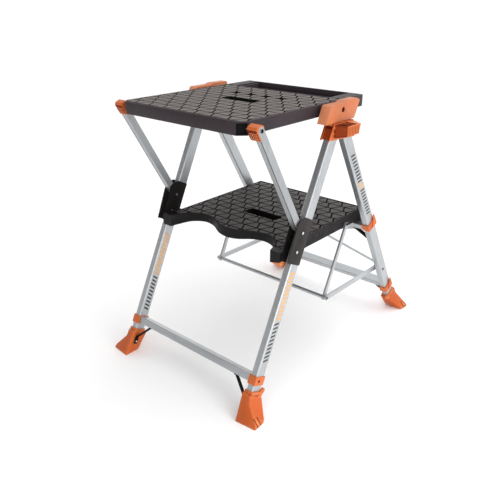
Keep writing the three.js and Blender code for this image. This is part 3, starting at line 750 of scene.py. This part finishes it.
def skirt_height(x):
    """The front skirt is deep at the ears and shallow beside them."""
    reach = abs(x) / EAR["inner"]
    shallow = SKIRT["dip"] * math.sin(math.pi * min(1, reach)) ** 2
    deep = SKIRT["drop"] * max(0, reach - SKIRT["ear_start"]) / (1 - SKIRT["ear_start"])
    return SKIRT["depth"] - shallow + deep


def step_field(wave, edge, ear_x, ear_y):
    """The outline of the platform's tread, set in from the rim and short of the ears."""
    half, rear = STEP["half"], STEP["rear"]
    front = [p for p in offset_open(wave, edge) if abs(p[0]) < 222]
    return ([(-half + edge, rear - edge), (-half + edge, ear_y), (-ear_x, ear_y)] + front
            + [(ear_x, ear_y), (half - edge, ear_y), (half - edge, rear - edge)])


def step_slot(name, grow, corner):
    x0, x1, y0, y1 = STEP_SLOT
    slot = Solid()
    plan = rounded_box(x0 - grow, x1 + grow, y0 - grow, y1 + grow, corner)
    slot.prism(plan, STEP["bottom"] - CLEAR, STEP["top"] + CLEAR)
    return slot.make(name, PAINTED_SHADOW)


def platform_hollow(wave):
    """The space under the platform's deck, less an island round the slot."""
    half, rear, bottom, top = STEP["half"], STEP["rear"], STEP["bottom"], STEP["top"]
    wall, deck = 4.5, 6.0
    front = [p for p in offset_open(wave, wall) if abs(p[0]) < 200 and p[1] > -246]
    plan = [(-half + wall, rear - wall), (-half + wall, -214), (-206, -232)] + front
    plan += [(206, -232), (half - wall, -214), (half - wall, rear - wall)]
    hollow = Solid()
    hollow.prism(plan, bottom - 5, top - deck)
    island = Solid()
    island.box((-66, 90), (-101, -41), (bottom - 6, top))
    return boolean(hollow.make("cut_a"), island.make("keep_a"))


def platform_body(wave):
    top, bottom, half, rear = STEP["top"], STEP["bottom"], STEP["half"], STEP["rear"]
    ear_x, ear_front, ear_rear = EAR["outer"], EAR["front"], EAR["rear"]
    plan = [(-half, rear), (-half, ear_rear), (-ear_x, ear_rear), (-ear_x, ear_front)]
    plan += wave + [(ear_x, ear_front), (ear_x, ear_rear), (half, ear_rear), (half, rear)]
    shell = Solid()
    shell.prism(plan, bottom, top)
    body = shell.make("platform_body", PLATFORM_RESIN)
    boolean(body, platform_hollow(wave))

    arch = Solid()
    rings = []
    for i in range(61):
        x = -226 + 452 * i / 60
        low = top - skirt_height(x)
        rings.append([(x, -310, bottom - 5), (x, -200, bottom - 5), (x, -200, low), (x, -310, low)])
    arch.loft(rings)
    boolean(body, arch.make("cut_b"))
    # The grip slot's walls take painted shadow.
    boolean(body, step_slot("cut_c", 0, SLOT_CORNER))

    # Room for the catch under the right ear.
    notch = Solid()
    section = [(232, bottom - 1), (270, bottom - 1), (270, bottom + 9.6), (232, bottom + 0.6)]
    notch.prism(section, ear_front - 2, -242, axis="y")
    boolean(body, notch.make("cut_d"))
    body = bevelled(body, 1.2, 2, 40)

    sunk = Solid()
    sunk.prism(step_field(wave, 3.4, 233, -266), top - TREAD_DEPTH, top + 5)
    # The sunk field's floor takes the painted groove shade.
    return boolean(body, sunk.make("cut_e", GROOVE_SHADE))


def platform_tread(wave):
    top, half = STEP["top"], STEP["half"]
    span_x, span_y = (-half, half), (EAR["front"], STEP["rear"])
    tiles = Solid()
    tread_tiles(tiles, STEP_TREAD, span_x, span_y, top - TREAD_DEPTH - 0.3, top - 0.05)
    tread = tiles.make("platform_tread", STEP_RESIN)
    tread.data.materials.append(GROOVE_SHADE)
    field = Solid()
    field.prism(step_field(wave, 5.0, 232, -262), top - 8, top + 5)
    boolean(tread, field.make("cut_a"), "INTERSECT")
    return boolean(tread, step_slot("cut_b", 3, SLOT_GUARD_CORNER))


def make_platform():
    top, half = STEP["top"], STEP["half"]
    wave = spline(EDGE)
    body = platform_body(wave)
    tread = platform_tread(wave)

    # The bosses that the stay links reach, and a pale lip along the wavy edge.
    extras = Solid()
    for side in (1, -1):
        extras.rod(LINK_TOP, 8, *outward(side, half - 2, 250.2), axis="x")
    lip = [p for p in offset_open(wave, 0.9) if abs(p[0]) < 224]
    inner = [p for p in offset_open(wave, 2.6) if abs(p[0]) < 224]
    extras.loft([
        [(*out, top - 1), (*back, top - 1), (*back, top), (*out, top)]
        for out, back in zip(lip, inner)
    ])
    extra = extras.make("platform_bosses", STEP_RESIN)

    xs = [-half + 3, -160, -80, -61, 85, 160, half - 3]
    ys = [-205, -150, -97, -45, 30, 100, 165, STEP["rear"] - 3]
    ribs = Solid()
    underside_ribs(ribs, xs, ys, STEP["bottom"] + 8, top - 5.5)
    rib = ribs.make("platform_ribs", PLATFORM_RESIN)
    for piece in (body, tread, extra, rib):
        smooth(piece, 30)
    whole = joined("platform_moulding", body, tread, extra, rib)
    settle(whole, "platform", "platform_resin", "lower_platform")


make_platform()


# ---- Boots ----
def lerp(a, b, t):
    return a + (b - a) * t


def flare(t, table):
    """Straight stretches through (t, value) pairs."""
    for (t0, v0), (t1, v1) in zip(table, table[1:]):
        if t <= t1:
            return lerp(v0, v1, (t - t0) / (t1 - t0))
    return table[-1][1]


BOOT_TOE, BOOT_INNER = 517.0, 267.5
BOOT_OUTER_FRONT = ((0.0, 348.5), (0.12, 347.0), (0.72, 302.0), (1.0, 299.0))
BOOT_OUTER_REAR = ((0.0, 345.5), (0.12, 344.0), (1.0, 299.0))
BOOT_EAR = [(12, 70), (25, 71), (37.5, 91), (38, 99), (33, 103.5), (27, 101), (15, 87)]
BOOT_ROUND = 2.6


def boot_ring(t):
    """The boot's section from the sole, t = 0, to the cuff, t = 1, as x, setback and height."""
    r = BOOT_ROUND
    front_out, rear_out = flare(t, BOOT_OUTER_FRONT), flare(t, BOOT_OUTER_REAR)
    in_x = lerp(BOOT_INNER + 4, BOOT_INNER, t)
    # Setback and height of the four corners: inner and outer front, then inner and outer rear.
    fs, fz = lerp(0.5, 41, t), lerp(0, 88, t)
    ofs, ofz = lerp(8.0, 43, t), lerp(0, 84, t)
    rs, rz = lerp(57, 104, t), lerp(0, 60, t)
    ors, orz = lerp(53, 98, t), lerp(0, 54, t)
    return [
        (in_x, fs + r, fz), (in_x + r * 0.3, fs + r * 0.3, fz), (in_x + r, fs, fz),
        (lerp(in_x, front_out, 0.5), lerp(fs, ofs, 0.5), lerp(fz, ofz, 0.5)),
        (front_out - r, lerp(fs, ofs, 0.96), ofz), (front_out - r * 0.3, ofs + r * 0.3, ofz),
        (front_out, ofs + r, ofz),
        (lerp(front_out, rear_out, 0.5), lerp(ofs, ors, 0.5), lerp(ofz, orz, 0.5)),
        (rear_out, ors - r, orz), (rear_out - r * 0.3, ors - r * 0.3, orz), (rear_out - r, ors, orz),
        (lerp(rear_out, in_x, 0.5), lerp(ors, rs, 0.5), lerp(orz, rz, 0.5)),
        (in_x + r, rs, rz), (in_x + r * 0.3, rs - r * 0.3, rz), (in_x, rs - r, rz),
        (in_x, lerp(rs, fs, 0.5), lerp(rz, fz, 0.5)),
    ]


def make_boot(name, body, side, sign, node):
    """sign is -1 at the front and 1 at the rear. Setback runs from the toe towards the middle."""
    def place(p):
        x, setback, z = p
        return (side * x, sign * (BOOT_TOE - setback), z)
    solid = Solid()
    solid.loft([[place(p) for p in boot_ring(i / 14)] for i in range(15)])
    shoe = smooth(bevelled(solid.make(name, ORANGE), 0.9, 2, 50), 40)

    lean = FRONT_LEAN if sign < 0 else REAR_LEAN
    c, s = math.cos(lean), math.sin(lean)
    def on_leg(p):
        x, across, along = p
        return (side * x, sign * (FOOT_Y - along * s - across * c), along * c - across * s)
    extras = Solid()
    cuff = rounded_box(LEG_IN - 3.5, LEG_OUT + 5.0, -21 - 3.2, 21 + 3.2, 4)
    extras.prism(cuff, 81.0, 91.5, "z", on_leg)
    extras.prism(BOOT_EAR, 292.0, 301.5, "x", on_leg)
    # The grooves' faces take the dark orange: painted shade in the grooves.
    grooves = Solid()
    for setback, high in ((19, 30), (34, 36)):
        grooves.box((331, 352), (setback, setback + 3.6), (-2, high), place)
    boolean(shoe, grooves.make("cut_a", ORANGE_SHADE))
    smooth(shoe, 40)
    extra = bevelled(extras.make(name + "_extras", ORANGE), 0.9, 2, 40)

    sole = Solid()
    outline = [(BOOT_INNER + 8, 5), (344, 12), (341, 50), (BOOT_INNER + 8, 53)]
    sole.prism(outline, 0.0, 2.2, "z", place)
    pad = bevelled(sole.make(name + "_pad", PAINTED_SHADOW), 0.5, 1)
    whole = joined(name, shoe, extra, pad)
    settle(whole, body, "orange_plastic", node)


for side, label in SIDES:
    make_boot(f"front_shoe_{label}", "front_frame", side, -1, f"front_boot_{label}")
    make_boot(f"rear_shoe_{label}", "rear_frame", side, 1, f"rear_boot_{label}")


# ---- Heads with their caddies, and the hinge cheeks ----
CADDY_CELLS = ((302, 342.5), (-84, -24), (824, 865.5))
CADDY_RIBS = {"first": -83.0, "pitch": 8.6, "count": 8, "half": 1.8}
HEAD_SHOULDER = 872


def head_front(z):
    """Y of the recessed front web at a height."""
    return -FOOT_Y + z * math.tan(FRONT_LEAN) - 21 / math.cos(FRONT_LEAN) - 4


def make_head(side, label):
    """The CAD head with ribs on the caddy, a small plate with two bosses, and painted shade in the caddy
    cells, on the lower front faces and on thin panels in the recesses.
    """
    node = f"head_{label}"
    shape = painted_copy(node, ORANGE, ORANGE_SHADE)
    # Painted shade: the caddy cells and the front faces below the shoulder take the dark orange.
    for polygon in shape.data.polygons:
        x, y, z = polygon.center / MM
        in_cell = all(low < value < high for value, (low, high) in zip((abs(x), y, z), CADDY_CELLS))
        front_in_shade = polygon.normal.y < -0.8 and z < HEAD_SHOULDER
        if in_cell or front_in_shade:
            polygon.material_index = 1
    shape = bevelled(shape, 1.1, 2, 40)
    extras = Solid()
    for i in range(CADDY_RIBS["count"]):
        y = CADDY_RIBS["first"] + CADDY_RIBS["pitch"] * i
        ys = (y - CADDY_RIBS["half"], y + CADDY_RIBS["half"])
        extras.box(outward(side, 344.6, 347.2), ys, (838.0, 862.0))
    for y, z in ((-89, 857), (-96, 841)):
        extras.rod((y, z), 3.8, *outward(side, 298.5, 303.4), axis="x", segments=16)
    plate = [(-112.5, 823.5), (-107.5, 823.5), (-85.5, 865.5), (-90.0, 865.5)]
    extras.prism(plate, *outward(side, 299.0, 300.6), axis="x")
    extra = bevelled(extras.make(node + "_ribs", ORANGE), 0.5, 2, 40)
    # Thin panels of painted shade on the recessed web, on the caddy's front and behind its ribs.
    panel = Solid()
    low, high = 823.0, 854.0
    low_y, high_y = head_front(low), head_front(high)
    web = [(low_y - 0.5, low), (low_y + 1, low), (high_y + 1, high), (high_y - 0.5, high)]
    panel.prism(web, *outward(side, 270.0, 296.0), axis="x")
    face = [(side * 301, 829.0), (side * 343.5, 838.2), (side * 343.5, 864.0), (side * 301, 864.0)]
    panel.prism(face, -88.6, -84.0, axis="y")
    panel.box(outward(side, 344.6, 345.5), (-86.0, -20.0), (838.5, 861.0))
    recess = panel.make(node + "_recess", ORANGE_SHADE)
    whole = joined(f"head_moulding_{label}", shape, extra, recess)
    settle(whole, "front_frame", "orange_plastic", node)


def make_cheek(side, label):
    node = f"hinge_cheek_{label}"
    shape = bevelled(painted_copy(node, PALE_ORANGE), 2.4, 3, 40)
    shape.name = f"cheek_moulding_{label}"
    settle(shape, "front_frame", "orange_plastic", node)


for side, label in SIDES:
    make_head(side, label)
    make_cheek(side, label)


# ---- Braces and their caps ----
BRACE_TOP = (-427.5, 903.0)
BRACE_LENGTH, BRACE_HALF = 379.0, 12.0
KNURL_COLUMNS = (264.5, 271.5, 278.5, 285.0)
KNURL_ROWS = (3.0, -2.5, -8.0, -13.5, -19.0)


def on_brace(side):
    """Places x from the middle, u square to the brace and w up along it, from its top pin."""
    c, s = math.cos(BRACE_LEAN), math.sin(BRACE_LEAN)
    def place(p):
        x, u, w = p
        return (side * x, BRACE_TOP[0] + u * c - w * s, BRACE_TOP[1] + u * s + w * c)
    return place


def make_brace(side, label):
    """A round-ended bar with a line slot and a pin hole, both lined with painted shadow, a knurled cap with
    painted shade on its front faces, and a disc of painted shadow for the pin's bore.
    """
    place = on_brace(side)
    half, length = BRACE_HALF, BRACE_LENGTH
    ends = []
    for start, foot in ((0.0, 0.0), (math.pi, -length)):
        for i in range(13):
            t = start + math.pi * i / 12
            ends.append((half * math.cos(t), foot + half * math.sin(t)))
    bar = Solid()
    bar.prism(ends, 271.6, 292.9, "x", place)
    body = bar.make("brace_bar", ALU_BRACE)
    cutter = Solid()
    cutter.box((288.2, 290.0), (-half - 2, -half + 1.2), (-length - 14, -6), place)
    boolean(body, cutter.make("cut_a", PAINTED_SHADOW))
    hole = Solid()
    hole.rod((0, 0), 5.4, 268, 296, "x", 20, place)
    boolean(body, hole.make("cut_b", PAINTED_SHADOW))
    body = bevelled(body, 0.7, 2, 40)
    body.name = f"brace_profile_{label}"
    settle(body, f"brace_{label}", "aluminium", f"table_brace_{label}")

    cap = painted_copy(f"brace_cap_{label}", ORANGE, ORANGE_SHADE)
    # The cap's front faces take the dark orange: painted shade.
    forward = Vector((0, -math.cos(BRACE_LEAN), -math.sin(BRACE_LEAN)))
    for polygon in cap.data.polygons:
        if polygon.normal.dot(forward) > 0.95:
            polygon.material_index = 1
    cap = bevelled(cap, 1.6, 3, 40)
    knurl = Solid()
    for x in KNURL_COLUMNS:
        for w in KNURL_ROWS:
            knurl.box((x, x + 4.4), (-half - 5.8, -half - 3.4), (w - 3.4, w), place)
    knob = bevelled(knurl.make("cap_knurl", ORANGE), 0.5, 1, 40)
    whole = joined(f"cap_moulding_{label}", cap, knob)
    settle(whole, f"brace_{label}", "orange_plastic", f"brace_cap_{label}")

    # A disc of painted shadow on the pin's end, for its bore.
    bore = Solid()
    bore.rod(BRACE_TOP, 5.6, *outward(side, 295.0, 295.7), axis="x", segments=20)
    plug = bore.make(f"brace_pin_bore_{label}", PAINTED_SHADOW)
    settle(plug, "table", "zinc_steel")


for side, label in SIDES:
    make_brace(side, label)


# ---- Places on the leg frames: x from the middle, across the depth, along from the floor ----
def on_frame(side, front):
    lean = FRONT_LEAN if front else REAR_LEAN
    c, s = math.cos(lean), math.sin(lean)
    def place(p):
        x, across, along = p
        if front:
            return (side * x, -FOOT_Y + across * c + along * s, along * c - across * s)
        return (side * x, FOOT_Y + across * c - along * s, along * c + across * s)
    return place


def make_collar(node, side, front, height):
    """The CAD collar with a raised ring on its outer face round a disc of painted shadow for its bore."""
    body = "front_frame" if front else "rear_frame"
    shape = bevelled(painted_copy(node, ORANGE), 1.3, 3, 40)
    place = on_frame(side, front)
    along = height / math.cos(FRONT_LEAN if front else REAR_LEAN)
    centre = (-6 if front else 13, along)
    rim = Solid()
    rim.ring(centre, 4.8, 6.2, 297.6, 298.9, "x", 20, place)
    edge = bevelled(rim.make("rim", ORANGE), 0.4, 1, 40)
    bore = Solid()
    bore.rod(centre, 4.9, 297.6, 298.3, "x", 20, place)
    hole = bore.make("bore", PAINTED_SHADOW)
    name = node.replace("collar", "clamp")
    whole = joined(name, shape, edge, hole)
    settle(whole, body, "orange_plastic", node)


LOW_BAR, MID_BAR = 114, 450
for side, label in SIDES:
    make_collar(f"front_collar_{label}", side, True, LOW_BAR)
    make_collar(f"rear_collar_low_{label}", side, False, LOW_BAR)
    make_collar(f"rear_collar_mid_{label}", side, False, MID_BAR)


# ---- Stay pivots, the bar's open ends and small fixings ----
STAY_PIVOT = (350, 219)
STAY_BAR = (-15, 228)


def make_stay_pin(side, label):
    pin = Solid()
    pin.rod(STAY_PIVOT, 3.9, *outward(side, 259.0, 295.2), axis="x", segments=20)
    pin.rod(STAY_PIVOT, 7.0, *outward(side, 257.2, 259.2), axis="x", segments=24)
    pin.ring(STAY_PIVOT, 5.8, 6.6, *outward(side, 295.1, 295.7), axis="x", segments=24)
    shank = bevelled(pin.make(f"stay_pin_{label}", ZINC), 0.4, 2, 40)
    # A disc of painted shadow on the pin's end.
    dot = Solid()
    dot.rod(STAY_PIVOT, 5.9, *outward(side, 295.0, 295.9), axis="x", segments=20)
    whole = joined(f"stay_pin_set_{label}", shank, dot.make("dot", PAINTED_SHADOW))
    settle(whole, "rear_frame", "zinc_steel", f"stay_pivot_pin_{label}")


def make_bar_end(side, label):
    bar_end = Solid()
    bar_end.ring(STAY_BAR, 4.6, 7.4, *outward(side, 267.3, 268.3), axis="x", segments=28)
    ring = bevelled(bar_end.make("ring", ALU_STAY), 0.3, 1, 40)
    # A disc of painted shadow in the bar's open mouth.
    mouth = Solid()
    mouth.rod(STAY_BAR, 5.2, *outward(side, 267.3, 268.5), axis="x", segments=24)
    whole = joined(f"stay_bar_end_{label}", ring, mouth.make("mouth", PAINTED_SHADOW))
    settle(whole, "stay_frame", "aluminium")


def make_link_eye(side, label):
    boss = Solid()
    boss.rod(LINK_TOP, 3.6, *outward(side, 257.3, 258.2), axis="x", segments=20)
    boss.ring(LINK_TOP, 3.5, 5.6, *outward(side, 257.3, 258.6), axis="x", segments=24)
    eye = bevelled(boss.make(f"stay_link_eye_{label}", PAINTED_SHADOW), 0.3, 1, 40)
    settle(eye, f"stay_link_{label}", "zinc_steel")


def make_strap_screw(side, label, front, across, along):
    frame_name = "front_frame" if front else "rear_frame"
    screw = Solid()
    screw.rod((across, along), 3.6, 262.0, 264.6, "x", 18, on_frame(side, front))
    fixing = bevelled(screw.make(f"strap_screw_{frame_name}_{label}", ZINC), 0.6, 2, 40)
    settle(fixing, frame_name, "zinc_steel")


for side, label in SIDES:
    make_stay_pin(side, label)
    make_bar_end(side, label)
    make_link_eye(side, label)
    make_strap_screw(side, label, True, -8, 44)
    make_strap_screw(side, label, False, 4, 58)


# ---- Gusset straps, without the short tab that runs under the crossbar ----
STRAP_TRIM = 20


def make_strap(node, body):
    shape = painted_copy(node, BLACK)
    near = min((vertex.co.x / MM for vertex in shape.data.vertices), key=abs)
    trim = Solid()
    xs = sorted((near * 0.95, near + math.copysign(STRAP_TRIM, near)))
    trim.box(xs, (-600, 600), (0, 600))
    boolean(shape, trim.make("cut_a"))
    shape = bevelled(shape, 0.5, 2, 40)
    shape.name = node.replace("gusset", "strap")
    settle(shape, body, "black_steel", node)


for side, label in SIDES:
    make_strap(f"front_gusset_{label}", "front_frame")
    make_strap(f"rear_gusset_low_{label}", "rear_frame")
    make_strap(f"rear_gusset_mid_{label}", "rear_frame")


# ---- Plain markings: rows of slanted bars where the photograph has print ----
BAR_REACH = 11
BAR_THICKNESS = 0.25
BAR_SLANT = 7
OUTER_FACE, INNER_FACE = 294.95, 270.8
FRONT_PITCH, REAR_PITCH = 13.5, 14.5
THIN_BAR, WIDE_BAR = 6.5, 7.5


def marking(name, leg, start, count, width, material):
    """A row of bars on a leg's face, from start mm up along the leg."""
    place = on_frame(leg["side"], leg["front"])
    pitch, slant, x = leg["pitch"], leg["slant"], leg["x"]
    bars = Solid()
    for i in range(count):
        low = start + i * pitch
        high = low + slant
        outline = [
            (-BAR_REACH, low), (BAR_REACH, high),
            (BAR_REACH, high + width), (-BAR_REACH, low + width),
        ]
        bars.prism(outline, x, x + BAR_THICKNESS, "x", place)
    settle(bars.make(name, material), "front_frame" if leg["front"] else "rear_frame", "aluminium")


FRONT_RIGHT = {"side": 1, "front": True, "x": OUTER_FACE, "pitch": FRONT_PITCH, "slant": BAR_SLANT}
FRONT_LEFT = {"side": -1, "front": True, "x": INNER_FACE, "pitch": FRONT_PITCH, "slant": -BAR_SLANT}
REAR_RIGHT = {"side": 1, "front": False, "x": OUTER_FACE, "pitch": REAR_PITCH, "slant": -BAR_SLANT}
marking("marking_front_right_dark", FRONT_RIGHT, 188, 10, THIN_BAR, INK_DARK)
marking("marking_front_right_amber", FRONT_RIGHT, 326, 12, WIDE_BAR, INK_AMBER)
marking("marking_front_left_dark", FRONT_LEFT, 172, 10, THIN_BAR, INK_DARK)
marking("marking_front_left_amber", FRONT_LEFT, 310, 12, WIDE_BAR, INK_AMBER)
marking("marking_rear_right_low", REAR_RIGHT, 590, 9, THIN_BAR, INK_DARK)
marking("marking_rear_right_middle", REAR_RIGHT, 720.5, 2, WIDE_BAR, INK_AMBER)
marking("marking_rear_right_high", REAR_RIGHT, 749.5, 9, THIN_BAR, INK_DARK)


# ---- Finishes of the CAD nodes that stay ----
def finish_of(node):
    if node.startswith("front_leg"):
        return ALU_FRONT
    if node.startswith("rear_leg"):
        return ALU_REAR
    if "crossbar" in node or "diagonal" in node:
        return ALU_BAR
    if node.startswith("stay"):
        return ALU_STAY
    # Outer bracket plates: the lighter copy of the black steel, a painted highlight.
    if "bracket_plate_outer" in node:
        return BRACKET_LIT
    if "bracket_plate" in node or "gusset" in node:
        return BLACK
    # The zinc hinge pins take the dark red painted shade of their bore.
    if node.startswith("table_hinge_pin"):
        return BORE_SHADE
    if node == "platform_catch":
        return ORANGE
    return ZINC


for name, node in NODES.items():
    if node.hide_render:
        continue
    node.data.materials.clear()
    node.data.materials.append(finish_of(name))


# ---- Floor and studio light ----
FLOOR_TONE = 0.98
FLOOR_DROP = 0.0005
# The world is dimmer towards the front left, which shades the front faces of the legs.
DIM_SIDE = (-0.49, -0.64, 0.59)
DIM_START, DIM_END = 0.72, 0.97
WORLD_BRIGHT, WORLD_DIM = 1.24, 0.08


def make_floor():
    bm = bmesh.new()
    bmesh.ops.create_grid(bm, x_segments=8, y_segments=8, size=40)
    mesh = bpy.data.meshes.new("floor")
    bm.to_mesh(mesh)
    bm.free()
    floor = bpy.data.objects.new("floor", mesh)
    bpy.context.scene.collection.objects.link(floor)
    material = bpy.data.materials.new("floor")
    material.use_nodes = True
    shader = material.node_tree.nodes["Principled BSDF"]
    shader.inputs["Base Color"].default_value = (FLOOR_TONE, FLOOR_TONE, FLOOR_TONE, 1)
    shader.inputs["Roughness"].default_value = 0.9
    mesh.materials.append(material)
    floor.location.z = -FLOOR_DROP


def area_light(name, place, target, size, power):
    data = bpy.data.lights.new(name, "AREA")
    data.shape = "RECTANGLE"
    data.size = size
    data.size_y = size
    data.energy = power
    light = bpy.data.objects.new(name, data)
    bpy.context.scene.collection.objects.link(light)
    light.location = place
    direction = Vector(target) - Vector(place)
    light.rotation_mode = "QUATERNION"
    light.rotation_quaternion = direction.to_track_quat("-Z", "Y")


def make_world():
    world = bpy.data.worlds.new("studio")
    bpy.context.scene.world = world
    world.use_nodes = True
    tree = world.node_tree
    direction = tree.nodes.new("ShaderNodeTexCoord")
    facing = tree.nodes.new("ShaderNodeVectorMath")
    facing.operation = "DOT_PRODUCT"
    facing.inputs[1].default_value = Vector(DIM_SIDE).normalized()
    strength = tree.nodes.new("ShaderNodeMapRange")
    strength.inputs["From Min"].default_value = DIM_START
    strength.inputs["From Max"].default_value = DIM_END
    strength.inputs["To Min"].default_value = WORLD_BRIGHT
    strength.inputs["To Max"].default_value = WORLD_DIM
    background = tree.nodes["Background"]
    tree.links.new(direction.outputs["Generated"], facing.inputs[0])
    tree.links.new(facing.outputs["Value"], strength.inputs["Value"])
    tree.links.new(strength.outputs["Result"], background.inputs["Strength"])
    background.inputs["Color"].default_value = (1.0, 1.0, 1.0, 1)


make_floor()
make_world()
area_light("key", (2.8, -0.4, 1.9), (0, 0, 0.5), 2.0, 14)
area_light("low", (1.5, -0.5, 0.4), (0.34, -0.48, 0.05), 0.6, 6)
area_light("top", (0.2, 0.9, 3.2), (0, 0, 0.4), 3.0, 12)
bpy.context.scene.view_settings.view_transform = "Standard"
